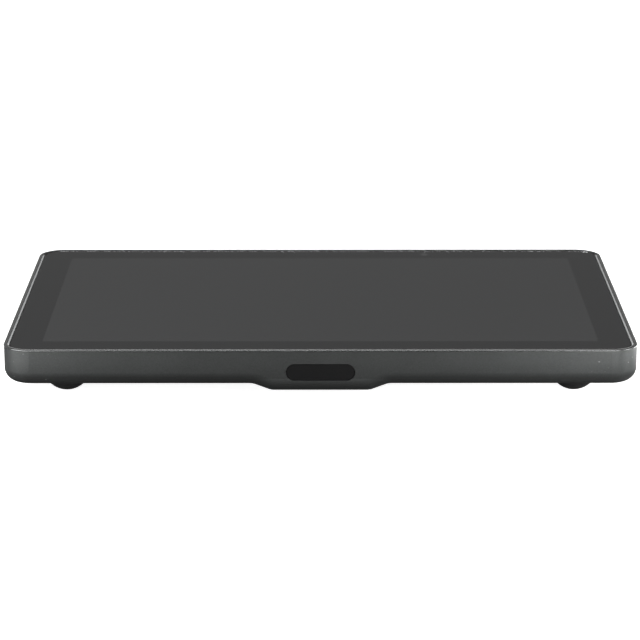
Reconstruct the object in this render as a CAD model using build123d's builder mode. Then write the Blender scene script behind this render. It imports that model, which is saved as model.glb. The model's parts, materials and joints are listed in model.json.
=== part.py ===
"""A ten-inch smart display: a flat tablet-like slab that lies or hangs on four rubber domes.

The frame: X is the width, Y the depth and Z up, through the screen. The near long edge, with the cable
exit, is at -Y, and the far long edge, with the buttons, at +Y. The origin is the centre of the footprint,
on the plane that the feet stand on. Everything is in millimetres.
"""

from build123d import *
import os
from math import sqrt

os.makedirs("parts", exist_ok=True)

# ---- Driving dimensions ------------------------------------------------------------------------
width, depth = 246.5, 165.2          # outline of the walls
slab = 14.5                          # thickness, without the spine and the feet
foot_height = 5.0                    # how far the rubber domes stand out below the slab
corner_radius = 10.7                 # plan corners
edge_radius = 5.2                    # round between the walls and the underside
wall = 1.8                           # housing walls and floor
active_width, active_depth = 216.96, 135.6   # lit area of a 10.1 inch, 16:10 panel
active_y = -0.5                      # the picture stands this far towards the far edge
window_gap = 0.1                     # how much larger the clear window in the border print is

# The trim ring. Its insets are measured inwards from the walls' outline.
ring_proud, ring_height, ring_round = 0.15, 0.5, 0.3
satin_band, ring_width, chamfer_deep = 1.5, 2.0, 0.4
skirt_start, skirt_drop = 1.0, 2.0   # the ring's skirt, inside the housing wall

glass_inset, glass_recess, glass_thick = 2.3, 0.3, 1.1
print_thick, gasket_thick, plate_thick = 0.1, 0.2, 1.0
fit_gap = 0.05                       # between pieces that are pushed together

spine_drop = 2.7                     # the raised spine on the underside
spine_half_top, spine_half_low = 26.4, 19.2
spine_end, spine_corner, spine_blend = 40.0, 14.0, 6.0

foot_x, foot_y = 99.25, 67.7
foot_dome, foot_tip, foot_seat_radius, foot_seat = 9.6, 2.0, 9.0, 0.8
foot_flange = 0.35                   # thickness of the thin brim round the dome's root

pill_width, pill_height, pill_drop = 26.85, 6.7, 8.9   # cable exit, and its centre below the top

mount_pitch = 75.0                   # square pattern of M4 inserts
insert_radius, insert_bore, insert_long = 2.9, 1.65, 5.6

volume_x = {"volume_down": 62.0, "volume_up": 78.0}
button_long, button_high, button_travel = 10.0, 3.2, 0.5
mute_x, mute_travel, mute_long = 43.5, 3.0, 5.6
sensor_x, sensor_y = 46.0, 74.4      # ambient light sensor, in the far border
mic_x = (-20.0, 20.0)

# ---- Levels and places worked out from them ----------------------------------------------------
under = foot_height
top = under + slab
seam = top - ring_height
floor_top = under + wall
spine_low = under - spine_drop
spine_floor = spine_low + wall
glass_top = top - glass_recess
glass_low = glass_top - glass_thick
print_low = glass_low - print_thick
frame_top = print_low - gasket_thick
touch_low = glass_low - 0.4
cell_low = touch_low - 1.1
diffuser_low = cell_low - 0.4
guide_low = diffuser_low - 0.6
reflector_low = guide_low - 0.15
tray_low = reflector_low - 0.3
plate_top = tray_low - 0.1
plate_low = plate_top - plate_thick
board_low, board_thick = floor_top + 2.8, 1.2
board_top = board_low + board_thick
front, back = -depth / 2, depth / 2
front_in, back_in = front + wall, back - wall
half_width = width / 2
pill_z = top - pill_drop
button_z, mic_z = floor_top + 4.95, floor_top + 5.2
bay_half, bay_wall, bulkhead_y = 17.4, 1.2, -34.0
cavity_half, cavity_far = bay_half + bay_wall, 31.0
rib_top = plate_low - 0.1
sides = {"left": -1, "right": 1}
feet = {f"foot_{row}_{side}": (sx * foot_x, sy * foot_y)
        for row, sy in (("near", -1), ("far", 1)) for side, sx in sides.items()}
mounts = [(x * mount_pitch / 2, y * mount_pitch / 2) for x in (-1, 1) for y in (-1, 1)]

# Display module, in the pocket of the mid frame
module_half, module_near, module_far = 112.5, -73.0, 71.8
pocket_half, pocket_near, pocket_far = 114.0, -75.6, 72.6
active_near, active_far = active_y - active_depth / 2, active_y + active_depth / 2
window = (-active_width / 2 - window_gap, active_width / 2 + window_gap,
          active_near - window_gap, active_far + window_gap)

# Main board and the ports at its near edge
board_half, board_near, board_far = 32.0, -32.5, 33.0
board_holes = [(x, y) for x in (-28.5, 28.5) for y in (-29.0, 29.5)]
jack_x, jack_width, jack_near, jack_far = -8.2, 15.6, -35.0, -19.0
jack_low, jack_top = spine_floor + 0.2, plate_low - 0.2
usb_x, usb_z, usb_width, usb_high, usb_near, usb_far = 9.0, board_low - 1.6, 9.0, 3.2, -35.0, -27.6
reset_x, reset_z, reset_radius = 2.05, board_low - 1.6, 1.1
can_half, can_near, can_far, can_top = 16.0, -17.0, 3.0, board_top + 1.8

# Cover of the port bay
cover_half, cover_near, cover_far, cover_thick, cover_gap = 17.0, -75.8, -27.4, 1.2, 0.3
cover_holes, cover_boss_top = [(0.0, -73.0), (usb_x, -30.2)], spine_floor + 1.9

# Speakers, antennas and the edge board
speaker_x, speaker_y, speaker_half, speaker_deep = 80.0, -44.0, 29.0, 13.0
speaker_low, speaker_top = floor_top + 0.6, floor_top + 6.6
ear_low, ear_top = floor_top + 2.6, floor_top + 3.8
driver_long, driver_wide, driver_top = 34.0, 18.0, floor_top + 5.2
ear_reach = 32.5
antenna_near, antenna_far, antenna_start, antenna_end = 55.0, 61.0, 50.0, 90.0
antenna_top = floor_top + 5.6
coax_x, coax_y, coax_z, coax_radius = 58.0, 22.0, board_top + 0.9, 0.5
edge_board_y, edge_board_thick, edge_board_ends = back_in - 4.85, 0.8, (-24.0, 88.0)
frame_holes = [(sx * 117.3, y) for sx in (-1, 1) for y in (-64.0, -22.0, 24.0, 64.0)]


def rounded(inset, low, high):
    """A plate with the slab's outline moved in by inset, from one level to another."""
    with BuildPart() as plate:
        with BuildSketch(Plane.XY.offset(low)):
            RectangleRounded(width - 2 * inset, depth - 2 * inset, corner_radius - inset)
        extrude(amount=high - low)
    return plate.part


def block(x0, x1, y0, y1, low, high, radius=0):
    """A box between the given planes, with round plan corners where a radius is given."""
    with BuildPart() as box:
        with BuildSketch(Plane.XY.offset(low)):
            with Locations(((x0 + x1) / 2, (y0 + y1) / 2)):
                if radius:
                    RectangleRounded(x1 - x0, y1 - y0, radius)
                else:
                    Rectangle(x1 - x0, y1 - y0)
        extrude(amount=high - low)
    return box.part


def post(x, y, radius, low, high):
    """An upright cylinder."""
    with BuildPart() as peg:
        with BuildSketch(Plane.XY.offset(low)):
            with Locations((x, y)):
                Circle(radius)
        extrude(amount=high - low)
    return peg.part


def bar(long, high, x, z, y0, y1, radius=None):
    """A bar along Y with round ends seen edge-on, or with the given corner radius."""
    with BuildPart() as rod:
        with BuildSketch(Plane.XZ.offset(-y1)):
            with Locations((x, z)):
                if radius is None:
                    SlotOverall(long, high)
                else:
                    RectangleRounded(long, high, radius)
        extrude(amount=y1 - y0)
    return rod.part


def rod(radius, x, z, y0, y1):
    """A cylinder along Y."""
    with BuildPart() as pin:
        with BuildSketch(Plane.XZ.offset(-y1)):
            with Locations((x, z)):
                Circle(radius)
        extrude(amount=y1 - y0)
    return pin.part


def ribbon(x0, x1, path, radius, thickness=0.2):
    """A flat flexible cable that bends in the YZ plane along the given path."""
    with BuildPart() as strip:
        with BuildSketch(Plane.YZ.offset(x0)):
            with BuildLine():
                FilletPolyline(*path, radius=radius)
            trace(line_width=thickness)
        extrude(amount=x1 - x0)
    return strip.part


def lead(path, radius, z, bend):
    """A round lead that lies level, with one bend radius for its corners."""
    with BuildPart() as wire:
        with BuildLine(Plane.XY.offset(z)) as route:
            FilletPolyline(*path, radius=bend)
        with BuildSketch(Plane(origin=route.line @ 0, z_dir=route.line % 0)):
            Circle(radius)
        sweep()
    return wire.part


def screws(places, seat, head_high, head_radius, shank_radius, shank_end):
    """Cross-recess screws. Their heads sit on the seat level, and the shanks run to shank_end."""
    down = shank_end < seat
    head_end = seat + head_high if down else seat - head_high
    with BuildPart() as group:
        for x, y in places:
            add(post(x, y, head_radius, min(seat, head_end), max(seat, head_end)))
            add(post(x, y, shank_radius, min(seat, shank_end), max(seat, shank_end)))
        crowns = group.faces().filter_by(lambda f: abs(f.center().Z - head_end) < 0.01).edges()
        fillet(crowns, head_high * 0.35)
        for x, y in places:
            for long, wide in ((head_radius * 1.1, head_radius * 0.3), (head_radius * 0.3, head_radius * 1.1)):
                sunk = head_end - head_high * 0.45 if down else head_end + head_high * 0.45
                cross = block(x - long / 2, x + long / 2, y - wide / 2, y + wide / 2,
                              min(sunk, head_end), max(sunk, head_end))
                add(cross, mode=Mode.SUBTRACT)
    return group.part


# ---- Rear housing ------------------------------------------------------------------------------
spine_slope = spine_half_top - spine_half_low
spine_start = front - 40.0           # the spine is drawn past the near wall and cut flush with it
spine_middle, spine_long = (spine_start + spine_end) / 2, spine_end - spine_start

with BuildPart() as spine:
    with BuildSketch(Plane.XY.offset(under)):
        with Locations((0, spine_middle)):
            RectangleRounded(2 * spine_half_top, spine_long, spine_corner)
    with BuildSketch(Plane.XY.offset(spine_low)):
        with Locations((0, spine_middle)):
            RectangleRounded(2 * spine_half_low, spine_long - 2 * spine_slope, spine_corner - spine_slope)
    loft(ruled=True)
    add(block(-width, width, spine_start - 10, front, spine_low, under), mode=Mode.SUBTRACT)

with BuildPart() as cavity:
    add(rounded(wall, floor_top, top))
    fillet(cavity.faces().sort_by(Axis.Z)[0].edges(), edge_radius - wall)

with BuildPart() as spine_cavity:
    add(block(-cavity_half, cavity_half, front_in, cavity_far, spine_floor, floor_top + 4))
    low_edges = spine_cavity.faces().sort_by(Axis.Z)[0].edges()
    fillet(low_edges.sort_by(Axis.Y)[0], edge_radius - wall)


def at_rim(edge):
    """True for the low edges on the slab's outline."""
    middle = edge.center()
    in_corner = abs(middle.X) > half_width - corner_radius and abs(middle.Y) > back - corner_radius
    on_side = abs(abs(middle.Y) - back) < 0.01 or abs(abs(middle.X) - half_width) < 0.01
    return edge.bounding_box().max.Z < under + 0.01 and (in_corner or on_side)


def on_spine(edge):
    """True for the level edges along the foot and the crest of the spine."""
    box = edge.bounding_box()
    inside = abs(edge.center().X) < spine_half_top + 1 and front + 1 < edge.center().Y < spine_end + 1
    return box.max.Z < under + 0.01 and box.size.Z < 0.01 and inside


with BuildPart() as rear_housing:
    add(rounded(0, under, seam))
    add(spine.part)
    fillet(rear_housing.edges().filter_by(on_spine), spine_blend)
    fillet(rear_housing.edges().filter_by(at_rim), edge_radius)
    add(cavity.part, mode=Mode.SUBTRACT)
    add(rounded(skirt_start - fit_gap, seam - skirt_drop - fit_gap, top), mode=Mode.SUBTRACT)
    # The bay wall, the bulkhead with the ports, and the space for the cables
    add(spine_cavity.part, mode=Mode.SUBTRACT)
    for side in sides.values():
        near_x, far_x = sorted((side * bay_half, side * cavity_half))
        add(block(near_x, far_x, front_in, bulkhead_y, spine_floor + edge_radius - wall, rib_top))
        add(block(near_x, far_x, front_in + edge_radius - wall, bulkhead_y, spine_floor, rib_top))
    add(block(-cavity_half, cavity_half, bulkhead_y, bulkhead_y + bay_wall, spine_floor, rib_top))
    jack_gap = jack_width / 2 + 0.2
    add(block(jack_x - jack_gap, jack_x + jack_gap, bulkhead_y - 1, bulkhead_y + 2, spine_floor, top),
        mode=Mode.SUBTRACT)
    add(bar(usb_width + 0.4, usb_high + 0.4, usb_x, usb_z, bulkhead_y - 1, bulkhead_y + 2),
        mode=Mode.SUBTRACT)
    add(rod(reset_radius + 0.3, reset_x, reset_z, bulkhead_y - 1, bulkhead_y + 2), mode=Mode.SUBTRACT)
    # The recess and the mouth of the bay in the spine's underside, and the cover's screw bosses
    for x, y in cover_holes:
        add(post(x, y, 2.2, spine_floor, cover_boss_top))
        add(post(x, y, 1.1, spine_low, cover_boss_top - 0.6), mode=Mode.SUBTRACT)
    add(block(-cover_half - cover_gap, cover_half + cover_gap, cover_near - cover_gap, cover_far + cover_gap,
              spine_low - 1, spine_low + cover_thick + cover_gap, 2.0 + cover_gap), mode=Mode.SUBTRACT)
    add(block(-15.2, 15.2, -70.5, -35.4, spine_low, spine_floor + 0.1, 2.0), mode=Mode.SUBTRACT)
    # Bosses for the board, the mid frame and the speakers
    for x, y in board_holes:
        add(post(x, y, 2.6, floor_top - 0.5, board_low))
        add(post(x, y, 0.95, floor_top + 0.2, board_low), mode=Mode.SUBTRACT)
    for x, y in frame_holes:
        add(post(x, y, 2.8, floor_top - 0.5, plate_low))
        add(post(x, y, 0.95, floor_top + 0.5, plate_low), mode=Mode.SUBTRACT)
    for side in sides.values():
        for reach in (-ear_reach, ear_reach):
            add(post(side * speaker_x + reach, speaker_y, 2.4, floor_top - 0.5, ear_low))
            add(post(side * speaker_x + reach, speaker_y, 0.95, floor_top + 0.2, ear_low), mode=Mode.SUBTRACT)
        with BuildSketch(Plane.XY.offset(under)):
            with Locations((side * speaker_x, speaker_y)):
                with GridLocations(3.2, 0, 9, 1):
                    SlotOverall(12.0, 1.4, rotation=90)
        extrude(amount=wall, mode=Mode.SUBTRACT)
    # Threaded inserts for a wall plate or a stand
    for x, y in mounts:
        add(post(x, y, 4.6, floor_top - 0.5, under + insert_long + 1.0))
        add(post(x, y, insert_radius, under, under + insert_long), mode=Mode.SUBTRACT)
    # Recesses for the feet
    for x, y in feet.values():
        add(post(x, y, foot_seat_radius + 0.1, under, under + foot_seat), mode=Mode.SUBTRACT)
    # Cable exit in the near wall
    add(bar(pill_width, pill_height, 0, pill_z, front - 1, front_in + 0.1), mode=Mode.SUBTRACT)
    # Buttons, mute slider and microphones in the far wall
    for x in volume_x.values():
        add(bar(button_long + 0.6, button_high + 0.6, x, button_z, back_in - 0.1, back + 1), mode=Mode.SUBTRACT)
    slot_long = mute_long + mute_travel + 0.6
    add(bar(slot_long, button_high + 0.2, mute_x + mute_travel / 2, button_z, back_in - 0.1, back + 1),
        mode=Mode.SUBTRACT)
    for x in mic_x:
        add(rod(0.6, x, mic_z, back_in - 0.1, back + 1), mode=Mode.SUBTRACT)
    # Posts that hold the edge board upright
    for x in (-23.0, 31.0, 87.0):
        add(block(x - 1, x + 1, edge_board_y - 1.6, edge_board_y, floor_top - 0.5, plate_low - 0.8))
rear_housing.part.label = "rear_housing"
export_step(rear_housing.part, "parts/rear_housing.step")

# ---- Trim ring and glass -----------------------------------------------------------------------
with BuildPart() as trim_ring:
    add(rounded(-ring_proud, seam, top))
    fillet(trim_ring.faces().sort_by(Axis.Z)[-1].edges(), ring_round)
    add(rounded(skirt_start, seam - skirt_drop, seam))
    add(rounded(ring_width, seam - skirt_drop, top), mode=Mode.SUBTRACT)
    with BuildSketch(Plane.XY.offset(top)):
        RectangleRounded(width - 2 * satin_band, depth - 2 * satin_band, corner_radius - satin_band)
    with BuildSketch(Plane.XY.offset(top - chamfer_deep)):
        RectangleRounded(width - 2 * ring_width, depth - 2 * ring_width, corner_radius - ring_width)
    loft(ruled=True, mode=Mode.SUBTRACT)
trim_ring.part.label = "trim_ring"
export_step(trim_ring.part, "parts/trim_ring.step")

with BuildPart() as cover_glass:
    add(rounded(glass_inset, glass_low, glass_top))
    fillet(cover_glass.faces().sort_by(Axis.Z)[-1].edges(), 0.15)
cover_glass.part.label = "cover_glass"
export_step(cover_glass.part, "parts/cover_glass.step")

with BuildPart() as border_print:
    add(rounded(glass_inset, print_low, glass_low))
    add(block(*window, print_low, glass_low),
        mode=Mode.SUBTRACT)
    with BuildSketch(Plane.XY.offset(print_low)):
        with Locations((sensor_x, sensor_y)):
            Ellipse(1.5, 1.2)
    extrude(amount=print_thick, mode=Mode.SUBTRACT)
border_print.part.label = "border_print"
export_step(border_print.part, "parts/border_print.step")

with BuildPart() as sensor_window:
    with BuildSketch(Plane.XY.offset(print_low)):
        with Locations((sensor_x, sensor_y)):
            Ellipse(1.5, 1.2)
    extrude(amount=print_thick)
sensor_window.part.label = "sensor_window"
export_step(sensor_window.part, "parts/sensor_window.step")

with BuildPart() as glass_gasket:
    add(rounded(glass_inset + 0.3, frame_top, print_low))
    add(block(-pocket_half, pocket_half, pocket_near, pocket_far, frame_top, print_low, 1.0),
        mode=Mode.SUBTRACT)
    add(post(sensor_x, sensor_y, 1.5, frame_top, print_low), mode=Mode.SUBTRACT)
glass_gasket.part.label = "glass_gasket"
export_step(glass_gasket.part, "parts/glass_gasket.step")

# ---- Display module ----------------------------------------------------------------------------
with BuildPart() as touch_sensor:
    add(block(-113.0, 113.0, -74.6, 72.2, touch_low, print_low, 1.0))
    add(block(*window, print_low, glass_low))
touch_sensor.part.label = "touch_sensor"
export_step(touch_sensor.part, "parts/touch_sensor.step")

with BuildPart() as lcd_cell:
    add(block(-module_half, module_half, module_near, module_far, cell_low, touch_low))
lcd_cell.part.label = "lcd_cell"
export_step(lcd_cell.part, "parts/lcd_cell.step")

tray_wall = 0.5
with BuildPart() as backlight_tray:
    add(block(-module_half, module_half, module_near, module_far, tray_low, cell_low))
    add(block(-module_half + tray_wall, module_half - tray_wall, module_near + tray_wall,
              module_far - tray_wall, reflector_low, cell_low), mode=Mode.SUBTRACT)
backlight_tray.part.label = "backlight_tray"
export_step(backlight_tray.part, "parts/backlight_tray.step")

sheet_half, sheet_near, sheet_far = module_half - tray_wall - 0.2, module_near + 2.4, module_far - tray_wall - 0.2
with BuildPart() as reflector_sheet:
    add(block(-sheet_half, sheet_half, sheet_near, sheet_far, reflector_low, guide_low))
reflector_sheet.part.label = "reflector_sheet"
export_step(reflector_sheet.part, "parts/reflector_sheet.step")

with BuildPart() as light_guide:
    add(block(-sheet_half, sheet_half, sheet_near, sheet_far, guide_low, diffuser_low))
light_guide.part.label = "light_guide"
export_step(light_guide.part, "parts/light_guide.step")

with BuildPart() as diffuser_sheets:
    add(block(-sheet_half, sheet_half, sheet_near, sheet_far, diffuser_low, cell_low))
diffuser_sheets.part.label = "diffuser_sheets"
export_step(diffuser_sheets.part, "parts/diffuser_sheets.step")

with BuildPart() as backlight_bar:
    bar_near = module_near + tray_wall
    add(block(-108.0, 108.0, bar_near, bar_near + 0.6, reflector_low, diffuser_low))
    with BuildSketch(Plane.XY.offset(guide_low)):
        with Locations((0, bar_near + 1.1)):
            with GridLocations(6.0, 0, 36, 1):
                Rectangle(3.0, 1.0)
    extrude(amount=diffuser_low - guide_low)
backlight_bar.part.label = "backlight_bar"
export_step(backlight_bar.part, "parts/backlight_bar.step")

# ---- Mid frame ---------------------------------------------------------------------------------
with BuildPart() as mid_frame:
    add(rounded(glass_inset + 0.1, plate_low, frame_top))
    add(block(-pocket_half, pocket_half, pocket_near, pocket_far, plate_top, frame_top, 1.0),
        mode=Mode.SUBTRACT)
    for x, y in frame_holes:
        add(post(x, y, 1.1, plate_low, frame_top), mode=Mode.SUBTRACT)
        add(post(x, y, 2.3, plate_top + 0.4, frame_top), mode=Mode.SUBTRACT)
    add(post(sensor_x, sensor_y, 1.5, plate_low, frame_top), mode=Mode.SUBTRACT)
    # Slots for the display's and the touch film's flat cables
    add(block(-11.6, 11.6, 14.8, 17.2, plate_low, plate_top), mode=Mode.SUBTRACT)
    add(block(-11.6, 11.6, 15.0, 31.0, plate_top - 0.3, plate_top), mode=Mode.SUBTRACT)
    add(block(19.0, 26.0, -75.4, -74.0, plate_low, plate_top), mode=Mode.SUBTRACT)
mid_frame.part.label = "mid_frame"
export_step(mid_frame.part, "parts/mid_frame.step")

frame_screws = screws(frame_holes, plate_top + 0.4, 1.4, 2.0, 0.85, floor_top + 1.2)
frame_screws.label = "frame_screws"
export_step(frame_screws, "parts/frame_screws.step")

# ---- Main board and what is on it --------------------------------------------------------------
with BuildPart() as main_board:
    add(block(-board_half, board_half, board_near, board_far, board_low, board_top, 1.5))
    add(block(jack_x - jack_gap, jack_x + jack_gap, board_near - 1, jack_far + 0.2, board_low, board_top),
        mode=Mode.SUBTRACT)
    for x, y in board_holes:
        add(post(x, y, 1.1, board_low, board_top), mode=Mode.SUBTRACT)
main_board.part.label = "main_board"
export_step(main_board.part, "parts/main_board.step")

board_screws = screws(board_holes, board_top, 1.2, 2.0, 0.85, floor_top + 0.8)
board_screws.label = "board_screws"
export_step(board_screws, "parts/board_screws.step")

with BuildPart() as shield_can:
    add(block(-can_half, can_half, can_near, can_far, board_top, can_top, 0.6))
    add(block(-can_half + 0.2, can_half - 0.2, can_near + 0.2, can_far - 0.2, board_top, can_top - 0.2, 0.4),
        mode=Mode.SUBTRACT)
shield_can.part.label = "shield_can"
export_step(shield_can.part, "parts/shield_can.step")

with BuildPart() as processor:
    add(block(-14.0, 0.0, -14.0, 0.0, board_top, board_top + 1.2))
processor.part.label = "processor"
export_step(processor.part, "parts/processor.step")

with BuildPart() as memory_chips:
    for near in (-15.0, -6.0):
        add(block(3.0, 14.0, near, near + 7.5, board_top, board_top + 1.0))
memory_chips.part.label = "memory_chips"
export_step(memory_chips.part, "parts/memory_chips.step")

with BuildPart() as power_module:
    add(block(19.0, 27.0, -14.0, 2.0, board_top, board_top + 2.2))
    add(block(-29.0, -20.0, -14.0, -5.0, board_top, board_top + 2.0))
power_module.part.label = "power_module"
export_step(power_module.part, "parts/power_module.step")

with BuildPart() as board_connectors:
    add(block(-12.0, 12.0, 7.0, 11.0, board_top, board_top + 1.4))
    add(block(6.0, 14.0, 24.0, 28.0, board_top, board_top + 1.4))
    add(block(19.0, 26.0, -30.8, -27.4, board_top, board_top + 1.4))
    for side in sides.values():
        near_x, far_x = sorted((side * 30.6, side * 27.8))
        add(block(near_x, far_x, coax_y - 1.3, coax_y + 1.3, board_top, board_top + 1.6))
        add(block(near_x, far_x, -20.0, -16.0, board_top, board_top + 1.8))
board_connectors.part.label = "board_connectors"
export_step(board_connectors.part, "parts/board_connectors.step")

with BuildPart() as thermal_pad:
    add(block(-12.0, 12.0, -14.0, 0.0, can_top, can_top + 0.4))
thermal_pad.part.label = "thermal_pad"
export_step(thermal_pad.part, "parts/thermal_pad.step")

with BuildPart() as heat_spreader:
    add(block(-45.0, 45.0, jack_far + 0.5, 4.0, can_top + 0.4, plate_low, 2.0))
heat_spreader.part.label = "heat_spreader"
export_step(heat_spreader.part, "parts/heat_spreader.step")

# The sunk eight-pole jack: a shell with its mouth and the step for the plug's latch below
mouth_half, mouth_low, mouth_top = 5.95, jack_low + 1.3, jack_top - 1.4
with BuildPart() as network_jack:
    add(block(jack_x - jack_width / 2, jack_x + jack_width / 2, jack_near, jack_far, jack_low, jack_top))
    add(block(jack_x - mouth_half, jack_x + mouth_half, jack_near, jack_far - 2.0, mouth_low + 1.4, mouth_top),
        mode=Mode.SUBTRACT)
    add(block(jack_x - 3.0, jack_x + 3.0, jack_near, jack_far - 4.0, mouth_low, mouth_low + 1.4),
        mode=Mode.SUBTRACT)
network_jack.part.label = "network_jack"
export_step(network_jack.part, "parts/network_jack.step")

with BuildPart() as power_socket:
    add(bar(usb_width, usb_high, usb_x, usb_z, usb_near, usb_far))
    add(bar(usb_width - 0.7, usb_high - 0.7, usb_x, usb_z, usb_near, usb_far - 0.8), mode=Mode.SUBTRACT)
    add(bar(6.6, 0.7, usb_x, usb_z, usb_near + 0.8, usb_far - 0.8, 0.1))
power_socket.part.label = "power_socket"
export_step(power_socket.part, "parts/power_socket.step")

with BuildPart() as reset_switch:
    add(block(reset_x - 1.6, reset_x + 1.6, -29.2, -26.0, board_low - 2.8, board_low))
reset_switch.part.label = "reset_switch"
export_step(reset_switch.part, "parts/reset_switch.step")

with BuildPart() as reset_button:
    add(rod(reset_radius, reset_x, reset_z, bulkhead_y - 0.3, -29.9))
    add(rod(reset_radius + 0.45, reset_x, reset_z, bulkhead_y + bay_wall + 0.3, bulkhead_y + bay_wall + 0.9))
reset_button.part.label = "reset_button"
export_step(reset_button.part, "parts/reset_button.step")

# ---- Flat cables, antennas and speakers --------------------------------------------------------
display_flex = ribbon(-11.0, 11.0, ((30.0, plate_top - 0.05), (16.0, plate_top - 0.05),
                                    (16.0, board_top + 0.8), (11.0, board_top + 0.8)), 0.8)
display_flex.label = "display_flex"
export_step(display_flex, "parts/display_flex.step")

touch_flex = ribbon(19.5, 25.5, ((-74.7, print_low - 0.05), (-74.7, plate_low - 0.4), (-37.0, plate_low - 0.4),
                                 (-34.0, board_top + 0.7), (-30.8, board_top + 0.7)), 0.9)
touch_flex.label = "touch_flex"
export_step(touch_flex, "parts/touch_flex.step")

with BuildPart() as edge_flex:
    add(block(6.5, 13.5, 28.0, edge_board_y, board_top + 0.6, board_top + 0.8))
edge_flex.part.label = "edge_flex"
export_step(edge_flex.part, "parts/edge_flex.step")

for name, side in sides.items():
    near_x, far_x = sorted((side * antenna_start, side * antenna_end))
    antenna = block(near_x, far_x, antenna_near, antenna_far, floor_top, antenna_top)
    antenna.label = f"antenna_{name}"
    export_step(antenna, f"parts/antenna_{name}.step")

    coax = lead(((side * coax_x, antenna_near), (side * coax_x, coax_y), (side * 30.6, coax_y)),
                coax_radius, coax_z, 12.0)
    coax.label = f"coax_{name}"
    export_step(coax, f"parts/coax_{name}.step")

    centre = side * speaker_x
    with BuildPart() as speaker_box:
        add(block(centre - speaker_half, centre + speaker_half, speaker_y - speaker_deep,
                  speaker_y + speaker_deep, speaker_low, speaker_top, 2.0))
        add(block(centre - speaker_half + 1, centre + speaker_half - 1, speaker_y - speaker_deep + 1,
                  speaker_y + speaker_deep - 1, speaker_low + 1, speaker_top - 1, 1.0), mode=Mode.SUBTRACT)
        with BuildSketch(Plane.XY.offset(speaker_low)):
            with Locations((centre, speaker_y)):
                SlotOverall(driver_long, driver_wide)
        extrude(amount=1.0, mode=Mode.SUBTRACT)
        for reach in (-1, 1):
            inner_x, outer_x = sorted((centre + reach * speaker_half, centre + reach * (ear_reach + 2.4)))
            add(block(inner_x, outer_x, speaker_y - 2.8, speaker_y + 2.8, ear_low, ear_top))
            add(post(centre + reach * ear_reach, speaker_y, 1.1, ear_low, ear_top), mode=Mode.SUBTRACT)
    speaker_box.part.label = f"speaker_box_{name}"
    export_step(speaker_box.part, f"parts/speaker_box_{name}.step")

    with BuildPart() as driver:
        with BuildSketch(Plane.XY.offset(speaker_low)):
            with Locations((centre, speaker_y)):
                SlotOverall(driver_long - 0.1, driver_wide - 0.1)
        extrude(amount=driver_top - speaker_low)
        with BuildSketch(Plane.XY.offset(speaker_low)):
            with Locations((centre, speaker_y)):
                SlotOverall(driver_long - 3, driver_wide - 3)
        extrude(amount=1.6, taper=30, mode=Mode.SUBTRACT)
    driver.part.label = f"speaker_driver_{name}"
    export_step(driver.part, f"parts/speaker_driver_{name}.step")

    with BuildPart() as speaker_gasket:
        with BuildSketch(Plane.XY.offset(floor_top)):
            with Locations((centre, speaker_y)):
                SlotOverall(driver_long + 4, driver_wide + 4)
                SlotOverall(driver_long - 1, driver_wide - 1, mode=Mode.SUBTRACT)
        extrude(amount=speaker_low - floor_top)
    speaker_gasket.part.label = f"speaker_gasket_{name}"
    export_step(speaker_gasket.part, f"parts/speaker_gasket_{name}.step")

with BuildPart() as speaker_leads:
    for side in sides.values():
        add(lead(((side * 56.0, speaker_y + speaker_deep), (side * 56.0, -18.0), (side * 30.6, -18.0)),
                 0.6, board_top + 0.9, 5.8))
speaker_leads.part.label = "speaker_leads"
export_step(speaker_leads.part, "parts/speaker_leads.step")

ears = [(side * speaker_x + reach, speaker_y) for side in sides.values() for reach in (-ear_reach, ear_reach)]
speaker_screws = screws(ears, ear_top, 1.2, 2.0, 0.85, floor_top + 0.8)
speaker_screws.label = "speaker_screws"
export_step(speaker_screws, "parts/speaker_screws.step")

# ---- Edge board, buttons and microphones -------------------------------------------------------
edge_face = edge_board_y + edge_board_thick
flange_near, flange_far, flange_high = back_in - 1.2, back_in - 0.3, 3.9
flush = back - 0.1                   # the buttons stop just short of the wall's face
with BuildPart() as edge_board:
    add(block(*edge_board_ends, edge_board_y, edge_face, floor_top, plate_low - 0.6))
edge_board.part.label = "edge_board"
export_step(edge_board.part, "parts/edge_board.step")

with BuildPart() as edge_switches:
    for x in volume_x.values():
        add(bar(4.0, 3.0, x, button_z, edge_face, flange_near - button_travel - 0.3, 0.2))
    add(bar(9.0, 3.4, mute_x + mute_travel / 2, button_z, edge_face, flange_near - 0.3, 0.2))
edge_switches.part.label = "edge_switches"
export_step(edge_switches.part, "parts/edge_switches.step")

with BuildPart() as microphones:
    for x in mic_x:
        add(bar(3.5, 2.6, x, mic_z, edge_face, edge_face + 1.0, 0.2))
microphones.part.label = "microphones"
export_step(microphones.part, "parts/microphones.step")

with BuildPart() as microphone_boots:
    for x in mic_x:
        add(rod(1.6, x, mic_z, edge_face + 1.0, back_in))
        add(rod(0.6, x, mic_z, edge_face + 1.0, back_in), mode=Mode.SUBTRACT)
microphone_boots.part.label = "microphone_boots"
export_step(microphone_boots.part, "parts/microphone_boots.step")

with BuildPart() as light_sensor:
    add(block(sensor_x - 1.3, sensor_x + 1.3, sensor_y - 1.3, edge_board_y, plate_low - 1.2, plate_low - 0.1))
light_sensor.part.label = "light_sensor"
export_step(light_sensor.part, "parts/light_sensor.step")

with BuildPart() as light_pipe:
    add(post(sensor_x, sensor_y, 1.3, plate_low - 0.1, print_low))
light_pipe.part.label = "light_pipe"
export_step(light_pipe.part, "parts/light_pipe.step")

for name, x in volume_x.items():
    with BuildPart() as button:
        add(bar(button_long, button_high, x, button_z, flange_near, flush))
        fillet(button.faces().sort_by(Axis.Y)[-1].edges(), 0.3)
        add(bar(button_long + 3.2, flange_high, x, button_z, flange_near, flange_far))
    button.part.label = name
    export_step(button.part, f"parts/{name}.step")

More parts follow.
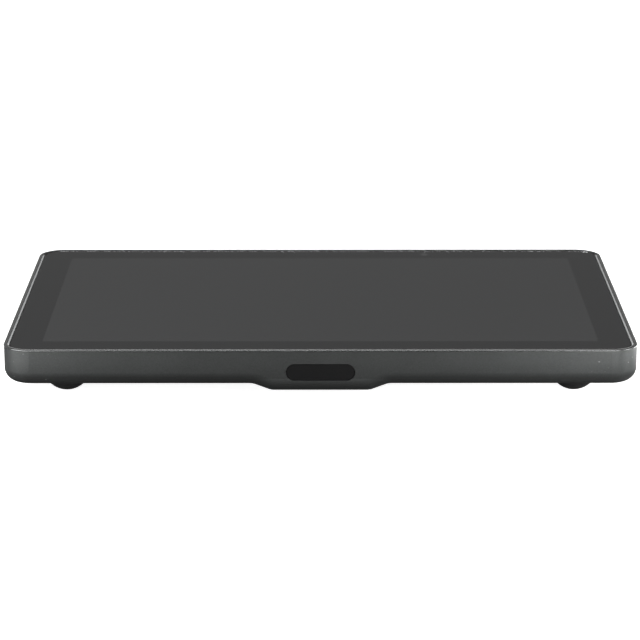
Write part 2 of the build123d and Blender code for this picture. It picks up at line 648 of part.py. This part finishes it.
with BuildPart() as mute_slider:
    add(bar(mute_long, button_high - 0.4, mute_x, button_z, flange_near, flush))
    fillet(mute_slider.faces().sort_by(Axis.Y)[-1].edges(), 0.2)
    for shift in (-1.2, 0, 1.2):
        groove = block(mute_x + shift - 0.2, mute_x + shift + 0.2, flush - 0.2, flush,
                       button_z - 0.9, button_z + 0.9)
        add(groove, mode=Mode.SUBTRACT)
    add(bar(mute_long + 7.4, flange_high, mute_x, button_z, flange_near, flange_far))
mute_slider.part.label = "mute_slider"
export_step(mute_slider.part, "parts/mute_slider.step")

# ---- Near wall, underside and feet -------------------------------------------------------------
plug_gap, plug_sunk = 0.1, 0.15
with BuildPart() as cable_plug:
    add(bar(pill_width - 2 * plug_gap, pill_height - 2 * plug_gap, 0, pill_z, front + plug_sunk, front_in))
    fillet(cable_plug.faces().sort_by(Axis.Y)[0].edges(), 0.2)
    add(bar(pill_width + 3.0, 6.0, 0, rib_top - 3.05, front_in, front_in + 1.0, 2.9))
cable_plug.part.label = "cable_plug"
export_step(cable_plug.part, "parts/cable_plug.step")

with BuildPart() as bay_cover:
    add(block(-cover_half, cover_half, cover_near, cover_far, spine_low, spine_low + cover_thick, 2.0))
    fillet(bay_cover.faces().sort_by(Axis.Z)[0].edges(), 0.2)
    for x, y in cover_holes:
        add(post(x, y, 2.0, spine_low, spine_low + 0.7), mode=Mode.SUBTRACT)
        add(post(x, y, 0.9, spine_low, spine_low + cover_thick), mode=Mode.SUBTRACT)
bay_cover.part.label = "bay_cover"
export_step(bay_cover.part, "parts/bay_cover.step")

cover_screws = screws(cover_holes, spine_low + 0.7, 0.6, 1.8, 0.8, cover_boss_top - 1.0)
cover_screws.label = "cover_screws"
export_step(cover_screws, "parts/cover_screws.step")

with BuildPart() as mount_inserts:
    for x, y in mounts:
        add(post(x, y, insert_radius, under, under + insert_long))
        add(post(x, y, insert_bore, under, under + insert_long), mode=Mode.SUBTRACT)
mount_inserts.part.label = "mount_inserts"
export_step(mount_inserts.part, "parts/mount_inserts.step")

dome_centre = sqrt(foot_dome**2 - foot_tip**2)
brim = under - foot_flange
foot_root = sqrt(foot_dome**2 - (dome_centre - brim) ** 2)
for name, (x, y) in feet.items():
    with BuildPart() as foot:
        with BuildSketch(Plane(origin=(x, y, 0), x_dir=(1, 0, 0), z_dir=(0, -1, 0))):
            with BuildLine():
                Polyline((foot_root, brim), (foot_seat_radius, brim), (foot_seat_radius, under + foot_seat),
                         (0, under + foot_seat), (0, 0), (foot_tip, 0))
                RadiusArc((foot_tip, 0), (foot_root, brim), -foot_dome)
            make_face()
        revolve(axis=Axis((x, y, 0), (0, 0, 1)))
        root = foot.edges().filter_by(GeomType.CIRCLE).filter_by(lambda e: abs(e.radius - foot_root) < 0.01)
        fillet(root, 0.6)
        fillet(foot.edges().filter_by(lambda e: e.center().Z < 0.01), 0.4)
    foot.part.label = name
    export_step(foot.part, f"parts/{name}.step")
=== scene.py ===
"""The looks of the smart display: materials, a finished trim ring, studio light and the camera."""
import json
import math

import bmesh
import bpy
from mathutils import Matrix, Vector


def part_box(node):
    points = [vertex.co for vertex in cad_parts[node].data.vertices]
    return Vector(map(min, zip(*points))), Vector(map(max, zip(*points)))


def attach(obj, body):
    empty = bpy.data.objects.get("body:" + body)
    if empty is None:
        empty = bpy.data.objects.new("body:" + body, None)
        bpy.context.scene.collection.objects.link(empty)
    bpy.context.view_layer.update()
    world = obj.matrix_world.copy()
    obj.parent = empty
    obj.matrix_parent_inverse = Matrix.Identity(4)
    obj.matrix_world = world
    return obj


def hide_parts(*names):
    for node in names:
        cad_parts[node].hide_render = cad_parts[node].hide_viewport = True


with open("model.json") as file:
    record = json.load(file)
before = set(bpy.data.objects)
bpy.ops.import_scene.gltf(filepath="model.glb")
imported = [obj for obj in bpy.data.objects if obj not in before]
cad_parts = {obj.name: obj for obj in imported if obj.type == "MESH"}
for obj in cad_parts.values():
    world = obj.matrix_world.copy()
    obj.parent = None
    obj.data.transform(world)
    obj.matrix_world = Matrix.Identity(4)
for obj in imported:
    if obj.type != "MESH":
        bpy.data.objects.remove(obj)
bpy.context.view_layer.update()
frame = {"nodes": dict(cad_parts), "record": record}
nodes = frame["nodes"]
scene = bpy.context.scene
scene.view_settings.view_transform = "Standard"

MM = 0.001

# ---- Sizes, in metres ----------------------------------------------------------------------------
_, body_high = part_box("rear_housing")
_, ring_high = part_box("trim_ring")
HALF_X, HALF_Y, TOP = body_high.x, body_high.y, ring_high.z
PROUD = ring_high.x - body_high.x     # the ring stands out this far from the walls
CORNER = 10.7 * MM                    # radius of the walls' corners, seen from above
WINDOW_X = 108.58 * MM                # half width of the clear window in the border print
WINDOW_Y = (-68.4 * MM, 67.4 * MM)    # its near and far edges
PRINT_EDGE = 0.05 * MM                # the print fades out over this much either side
SENSOR = (46.0 * MM, 74.4 * MM)       # centre of the light sensor's mark
SENSOR_RADII = (1.5 * MM, 1.9 * MM)
CROWN = (15.0 * MM, 8.0 * MM)         # between these heights a bump tilts the walls' shading as if they leaned in; the shape stays straight
CROWN_DEEP = 0.4 * MM
GLINT_FLECKS_FROM = (98 * MM, 108 * MM)     # light flecks, painted glints of metal flake, appear between these distances from the middle


# ---- Node helpers --------------------------------------------------------------------------------
class Shader:
    """A material with one Principled shader and object coordinates, and short calls to add nodes."""

    def __init__(self, name, color, roughness, metallic=0.0, specular=0.5):
        self.material = bpy.data.materials.new(name)
        self.material.use_nodes = True
        self.tree = self.material.node_tree
        self.bsdf = self.tree.nodes["Principled BSDF"]
        self.set("Base Color", (*color, 1.0))
        self.set("Roughness", roughness)
        self.set("Metallic", metallic)
        self.set("Specular IOR Level", specular)
        self.place = self.tree.nodes.new("ShaderNodeTexCoord").outputs["Object"]
        self.color, self.relief = color, None

    def set(self, socket, value):
        self.bsdf.inputs[socket].default_value = value

    def link(self, output, socket):
        self.tree.links.new(output, self.bsdf.inputs[socket])

    def node(self, kind, first_input):
        """A new node of this kind, fed with first_input."""
        node = self.tree.nodes.new(kind)
        self.tree.links.new(first_input, node.inputs[0])
        return node

    def calc(self, operation, a, b=0.0):
        """A math node; a and b are numbers or outputs."""
        node = self.tree.nodes.new("ShaderNodeMath")
        node.operation = operation
        for socket, value in zip(node.inputs, (a, b)):
            if isinstance(value, (int, float)):
                socket.default_value = value
            else:
                self.tree.links.new(value, socket)
        return node.outputs[0]

    def axes(self):
        """The object coordinates as three outputs."""
        return self.node("ShaderNodeSeparateXYZ", self.place).outputs

    def noise(self, size, detail=2.0):
        """Noise with features of about the given size, in metres."""
        node = self.node("ShaderNodeTexNoise", self.place)
        node.inputs["Scale"].default_value = 1 / size
        node.inputs["Detail"].default_value = detail
        return node.outputs["Fac"]

    def span(self, value, low, high, to_low, to_high):
        """Maps value from low..high to to_low..to_high, held at the ends."""
        node = self.node("ShaderNodeMapRange", value)
        for socket, number in zip(node.inputs[1:5], (low, high, to_low, to_high)):
            socket.default_value = number
        return node.outputs[0]

    def blend(self, factor, first, second):
        """A colour that runs from first to second; each is a colour or an output."""
        node = self.tree.nodes.new("ShaderNodeMix")
        node.data_type = "RGBA"
        self.tree.links.new(factor, node.inputs[0])
        for socket, value in zip((node.inputs[6], node.inputs[7]), (first, second)):
            if isinstance(value, tuple):
                socket.default_value = (*value, 1.0)
            else:
                self.tree.links.new(value, socket)
        return node.outputs[2]

    def bump(self, height, depth, strength=1.0):
        """Adds relief of the given depth in metres, on top of any relief that is there."""
        node = self.tree.nodes.new("ShaderNodeBump")
        node.inputs["Strength"].default_value = strength
        node.inputs["Distance"].default_value = depth
        self.tree.links.new(height, node.inputs["Height"])
        if self.relief:
            self.tree.links.new(self.relief, node.inputs["Normal"])
        self.relief = node.outputs[0]
        self.link(self.relief, "Normal")

    def tint(self, pattern, spread):
        """Lets the colour wander by a share of itself, with the pattern."""
        darker = tuple(c * (1 - spread) for c in self.color)
        lighter = tuple(c * (1 + spread) for c in self.color)
        output = self.blend(self.span(pattern, 0.3, 0.7, 0, 1), darker, lighter)
        self.link(output, "Base Color")
        return output


# ---- Materials -----------------------------------------------------------------------------------
# The second colour is the flecks' painted glint: metal flake as light as where light catches it.
GRAPHITE, GLINT_FLECK = (0.070, 0.0735, 0.0725), (0.26, 0.265, 0.26)
RING_METAL, CUT_METAL = (0.126, 0.129, 0.128), (0.62, 0.63, 0.635)
BORDER, PANEL, SENSOR_INK = (0.0085, 0.0087, 0.009), (0.0232, 0.0237, 0.0241), (0.06, 0.0605, 0.061)
COLOR_GRAIN, BLAST_GRAIN = 0.45 * MM, 0.22 * MM


def graphite():
    """Bead-blasted, dark anodised metal: a tight grain, slow changes of gloss, and near the ends a few
    light flecks of metal flake whose brightness is a painted glint.
    """
    shader = Shader("graphite_satin", GRAPHITE, 0.42, metallic=0.55)
    tone = shader.tint(shader.noise(COLOR_GRAIN, 3.0), 0.10)
    x, _, z = shader.axes()
    # Painted glints: the metal flakes are real, but they are painted light only near the left and
    # right ends, where light catches them.
    glint_fleck = shader.span(shader.noise(0.8 * MM, 0.0), 0.82, 0.87, 0, 1)
    glint_at_corner = shader.span(shader.calc("ABSOLUTE", x), *GLINT_FLECKS_FROM, 0, 1)
    shader.link(shader.blend(shader.calc("MULTIPLY", glint_fleck, glint_at_corner), tone, GLINT_FLECK), "Base Color")
    shader.link(shader.span(shader.noise(14 * MM), 0.35, 0.65, 0.40, 0.45), "Roughness")
    down = shader.span(z, *CROWN, 0, 1)
    shader.bump(shader.calc("POWER", down, 2), -CROWN_DEEP)
    shader.bump(shader.noise(BLAST_GRAIN), 0.004 * MM, 0.35)
    return shader.material


def ring_satin():
    """The trim ring's own finish: the same grain, lighter and smoother."""
    shader = Shader("ring_satin", RING_METAL, 0.25, metallic=0.8)
    shader.tint(shader.noise(COLOR_GRAIN, 3.0), 0.08)
    shader.bump(shader.noise(BLAST_GRAIN), 0.003 * MM, 0.3)
    return shader.material


def polished():
    """Diamond-cut metal with an uneven polish."""
    shader = Shader("polished_chamfer", CUT_METAL, 0.22, metallic=1.0)
    shader.link(shader.span(shader.noise(3 * MM, 3.0), 0.3, 0.7, 0.18, 0.26), "Roughness")
    return shader.material


def screen_glass():
    """Dark glass: black print at the border, and in the middle the switched-off panel, lighter."""
    shader = Shader("screen_glass", BORDER, 0.045)
    x, y, _ = shader.axes()
    side = shader.calc("SUBTRACT", WINDOW_X, shader.calc("ABSOLUTE", x))
    near = shader.calc("SUBTRACT", y, WINDOW_Y[0])
    far = shader.calc("SUBTRACT", WINDOW_Y[1], y)
    edge = shader.calc("MINIMUM", side, shader.calc("MINIMUM", near, far))
    inside = shader.span(edge, -PRINT_EDGE, PRINT_EDGE, 0, 1)
    across, along = (
        shader.calc("POWER", shader.calc("DIVIDE", shader.calc("SUBTRACT", value, middle), radius), 2)
        for value, middle, radius in zip((x, y), SENSOR, SENSOR_RADII))
    mark = shader.span(shader.calc("ADD", across, along), 0.9, 1.1, 1, 0)
    base = shader.blend(inside, BORDER, PANEL)
    shader.link(shader.blend(mark, base, SENSOR_INK), "Base Color")
    return shader.material


def moulded(name, color, roughness=0.5, grain=0.3 * MM, specular=0.5):
    """Moulded plastic with a fine spark-eroded texture."""
    shader = Shader(name, color, roughness, specular=specular)
    shader.tint(shader.noise(grain * 1.7, 3.0), 0.08)
    shader.bump(shader.noise(grain), 0.006 * MM, 0.5)
    return shader.material


def rubber():
    """Soft dark rubber, matt, with a faint bloom."""
    shader = Shader("foot_rubber", (0.026, 0.0263, 0.0263), 0.62, specular=0.35)
    shader.tint(shader.noise(2.5 * MM, 3.0), 0.18)
    shader.bump(shader.noise(0.35 * MM), 0.008 * MM, 0.5)
    return shader.material


def metal(name, color, roughness):
    """Bare or plated metal with a fine uneven polish."""
    shader = Shader(name, color, roughness, metallic=1.0)
    polish = shader.span(shader.noise(0.4 * MM, 3.0), 0.3, 0.7, roughness * 0.8, roughness * 1.25)
    shader.link(polish, "Roughness")
    shader.tint(shader.noise(2 * MM), 0.06)
    return shader.material


def plain_part(name, color, is_metal):
    """A material for a piece inside the case: its colour wanders slightly."""
    shader = Shader(name, color, 0.35 if is_metal else 0.55, metallic=1.0 if is_metal else 0.0)
    shader.tint(shader.noise(1.5 * MM), 0.08)
    return shader.material


# By material slot; the slots that are not listed belong to pieces inside the case
LOOKS = {
    "housing": graphite(),
    "glass": screen_glass(),
    "plug_plastic": moulded("plug_plastic", (0.0065, 0.0065, 0.0067), specular=0.2),
    "cover_plastic": moulded("cover_plastic", (0.055, 0.0575, 0.057)),
    "button_plastic": moulded("button_plastic", (0.03, 0.031, 0.031), 0.45, 0.2 * MM),
    "foot_rubber": rubber(),
    "screw_steel": metal("screw_steel", (0.32, 0.32, 0.33), 0.3),
    "insert_brass": metal("insert_brass", (0.62, 0.45, 0.2), 0.32),
    "socket_steel": metal("socket_steel", (0.55, 0.55, 0.56), 0.28),
}
METALS = ("aluminium", "brushed_steel", "brass", "chrome")
for entry in frame["record"]["materials"]:
    slot_name = entry["slot"]
    if slot_name not in LOOKS:
        color = tuple(entry["base_color"][:3])
        LOOKS[slot_name] = plain_part(slot_name, color, entry["class"] in METALS)
for subpart in frame["record"]["subparts"]:
    node = nodes[subpart["node"]]
    node.data.materials.clear()
    node.data.materials.append(LOOKS[subpart["material_slot"]])


# ---- Trim ring -----------------------------------------------------------------------------------
EDGE_RADIUS, EDGE_STEPS = 0.3 * MM, 6    # the ring's outer top edge
CORNER_STEPS = 24
SMOOTH_BELOW = math.radians(20)          # sharper edges than this are drawn sharp


def corner_path(inset):
    """Points round the walls' outline, moved in by inset."""
    radius, points = CORNER - inset, []
    for quarter, (sx, sy) in enumerate(((1, 1), (-1, 1), (-1, -1), (1, -1))):
        centre = Vector((sx * (HALF_X - CORNER), sy * (HALF_Y - CORNER)))
        for step in range(CORNER_STEPS + 1):
            angle = (quarter + step / CORNER_STEPS) * math.pi / 2
            points.append(centre + radius * Vector((math.cos(angle), math.sin(angle))))
    return points


def ring_profile():
    """The ring's section: inset from the walls, height from the top, and whether it is polished
    from this point to the next."""
    # The undercut that makes the seam over the wall, up to the outer face
    profile = [
        (0.15 * MM, -0.5 * MM, False),
        (0.15 * MM, -0.39 * MM, False),
        (-PROUD + 0.03 * MM, -0.38 * MM, False),
        (-PROUD, -0.35 * MM, False),
    ]
    for i in range(EDGE_STEPS + 1):
        angle = i / EDGE_STEPS * math.pi / 2
        inset = EDGE_RADIUS * (1 - math.cos(angle)) - PROUD
        profile.append((inset, -EDGE_RADIUS * (1 - math.sin(angle)), False))
    # The satin band, the chamfer, the inner wall down to the skirt's foot, and back up
    profile += [
        (1.47 * MM, 0, False),
        (1.5 * MM, -0.008 * MM, True),
        (1.98 * MM, -0.385 * MM, True),
        (2.0 * MM, -0.42 * MM, False),
        (2.0 * MM, -2.5 * MM, False),
        (1.0 * MM, -2.5 * MM, False),
        (1.0 * MM, -0.5 * MM, False),
    ]
    return profile


def build_ring():
    """The trim ring: a satin band with a soft outer edge and a diamond-cut inner chamfer."""
    mesh = bpy.data.meshes.new("trim_ring_finished")
    ring = bpy.data.objects.new("trim_ring_finished", mesh)
    scene.collection.objects.link(ring)
    shape = bmesh.new()
    profile = ring_profile()
    loops = []
    for inset, height, _ in profile:
        loops.append([shape.verts.new((p.x, p.y, TOP + height)) for p in corner_path(inset)])
    count = len(loops[0])
    for row, (_, _, is_polished) in enumerate(profile):
        first, second = loops[row], loops[(row + 1) % len(loops)]
        for i in range(count):
            j = (i + 1) % count
            face = shape.faces.new((first[i], first[j], second[j], second[i]))
            face.smooth = True
            face.material_index = 1 if is_polished else 0
    bmesh.ops.recalc_face_normals(shape, faces=shape.faces)
    shape.to_mesh(mesh)
    shape.free()
    mesh.materials.append(ring_satin())
    mesh.materials.append(polished())
    mesh.set_sharp_from_angle(angle=SMOOTH_BELOW)
    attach(ring, "root")
    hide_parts("trim_ring")


build_ring()


# ---- Studio --------------------------------------------------------------------------------------
WHITE = (1, 1, 1, 1)
FLOOR_REACH = 8
FLOOR_GLOW = 0.92    # with the light that falls on it, this makes the floor plain white


def build_floor():
    """A white floor with only a faint shadow. It is clear from below, and the part doesn't see it."""
    mesh = bpy.data.meshes.new("floor")
    corners = [(x * FLOOR_REACH, y * FLOOR_REACH, 0) for x, y in ((-1, -1), (1, -1), (1, 1), (-1, 1))]
    mesh.from_pydata(corners, [], [(0, 1, 2, 3)])
    floor = bpy.data.objects.new("floor", mesh)
    scene.collection.objects.link(floor)
    material = bpy.data.materials.new("floor_white")
    material.use_nodes = True
    tree = material.node_tree
    bsdf = tree.nodes["Principled BSDF"]
    bsdf.inputs["Base Color"].default_value = (0.8, 0.8, 0.8, 1)
    bsdf.inputs["Roughness"].default_value = 0.9
    bsdf.inputs["Specular IOR Level"].default_value = 0.0
    bsdf.inputs["Emission Color"].default_value = WHITE
    bsdf.inputs["Emission Strength"].default_value = FLOOR_GLOW
    clear = tree.nodes.new("ShaderNodeBsdfTransparent")
    side = tree.nodes.new("ShaderNodeNewGeometry")
    mix = tree.nodes.new("ShaderNodeMixShader")
    tree.links.new(side.outputs["Backfacing"], mix.inputs[0])
    tree.links.new(bsdf.outputs[0], mix.inputs[1])
    tree.links.new(clear.outputs[0], mix.inputs[2])
    tree.links.new(mix.outputs[0], tree.nodes["Material Output"].inputs["Surface"])
    mesh.materials.append(material)
    floor.visible_diffuse = False
    floor.visible_glossy = False


# The studio's brightness from straight down (-1) to straight up (1): each band starts at its height
WORLD_BANDS = [(-1.0, 0.07), (-0.35, 0.165), (-0.05, 1.20), (0.152, 0.182), (0.30, 0.02)]
CENTRE = (0, 0, 0.01)
NEAR_LEFT, NEAR_RIGHT, EDGE_RIGHT = (-0.11, -0.08, 0.012), (0.09, -0.08, 0.012), (0.118, -0.075, 0.012)
SMALL = (0.08, 0.08)
# Name, place, target and size in metres, and power in watts
LIGHTS = [
    ("left_high", (-0.797, -0.290, 0.864), CENTRE, (0.6, 0.6), 11.0),
    ("back_high", (0, 0.849, 0.864), CENTRE, (0.6, 0.6), 1.35),
    ("edge_right", (0.21, -0.01, 0.010), EDGE_RIGHT, (0.06, 0.015), 0.10),
    ("front_high", (0, -0.507, 1.103), CENTRE, (0.5, 0.5), 5.6),
    ("near_left", (-0.16, -0.18, 0.03), NEAR_LEFT, SMALL, 0.072),
    ("near_right", (0.15, -0.2, 0.045), NEAR_RIGHT, SMALL, 0.193),
    ("corner_left", (-0.22, -0.125, 0.03), NEAR_LEFT, SMALL, 0.080),
    ("corner_right", (0.26, -0.12, 0.04), (0.11, -0.08, 0.012), SMALL, 0.235),
    ("side_right", (0.3, -0.12, 0.04), (0.12, -0.07, 0.012), SMALL, 0.12),
    ("side_left", (-0.2, -0.25, 0.2), (-0.09, -0.08, 0.012), (0.15, 0.15), 0.30),
]


def build_world():
    """White to the camera, and to the part a dark studio with a bright horizon."""
    world = bpy.data.worlds.new("studio")
    scene.world = world
    world.use_nodes = True
    tree = world.node_tree
    coordinates = tree.nodes.new("ShaderNodeTexCoord")
    split = tree.nodes.new("ShaderNodeSeparateXYZ")
    tree.links.new(coordinates.outputs["Generated"], split.inputs[0])
    level = tree.nodes.new("ShaderNodeMapRange")
    level.inputs["From Min"].default_value = -1.0
    tree.links.new(split.outputs["Z"], level.inputs[0])
    ramp = tree.nodes.new("ShaderNodeValToRGB")
    ramp.color_ramp.interpolation = "CONSTANT"
    while len(ramp.color_ramp.elements) < len(WORLD_BANDS):
        ramp.color_ramp.elements.new(0.5)
    for element, (from_z, radiance) in zip(ramp.color_ramp.elements, WORLD_BANDS):
        element.position = (from_z + 1) / 2
        element.color = (radiance, radiance, radiance, 1)
    tree.links.new(level.outputs[0], ramp.inputs[0])
    path = tree.nodes.new("ShaderNodeLightPath")
    mix = tree.nodes.new("ShaderNodeMix")
    mix.data_type = "RGBA"
    tree.links.new(path.outputs["Is Camera Ray"], mix.inputs[0])
    tree.links.new(ramp.outputs[0], mix.inputs[6])
    mix.inputs[7].default_value = WHITE
    tree.links.new(mix.outputs[2], tree.nodes["Background"].inputs["Color"])


def softbox(name, place, target, size, power):
    """A rectangular area light at place that faces target."""
    data = bpy.data.lights.new(name, "AREA")
    data.shape = "RECTANGLE"
    data.size, data.size_y = size
    data.energy = power
    light = bpy.data.objects.new(name, data)
    scene.collection.objects.link(light)
    light.location = place
    light.rotation_euler = (Vector(target) - Vector(place)).to_track_quat("-Z", "Y").to_euler()
    light.visible_camera = False


CAMERA_PLACE = (-1.87 * MM, -1098.69 * MM, TOP + 286.08 * MM)
CAMERA_PITCH, CAMERA_YAW = 15.09, -0.094    # degrees down, and towards the left
FOCAL_LENGTH, SENSOR_WIDTH = 153.96, 36.0   # mm


def build_camera():
    """A long lens that looks down at the near edge."""
    data = bpy.data.cameras.new("camera")
    data.lens, data.sensor_width = FOCAL_LENGTH, SENSOR_WIDTH
    data.clip_start, data.clip_end = 0.05, 50
    camera = bpy.data.objects.new("camera", data)
    scene.collection.objects.link(camera)
    camera.location = CAMERA_PLACE
    camera.rotation_euler = (math.radians(90 - CAMERA_PITCH), 0, math.radians(CAMERA_YAW))
    scene.camera = camera


build_floor()
build_world()
for light_settings in LIGHTS:
    softbox(*light_settings)
build_camera()
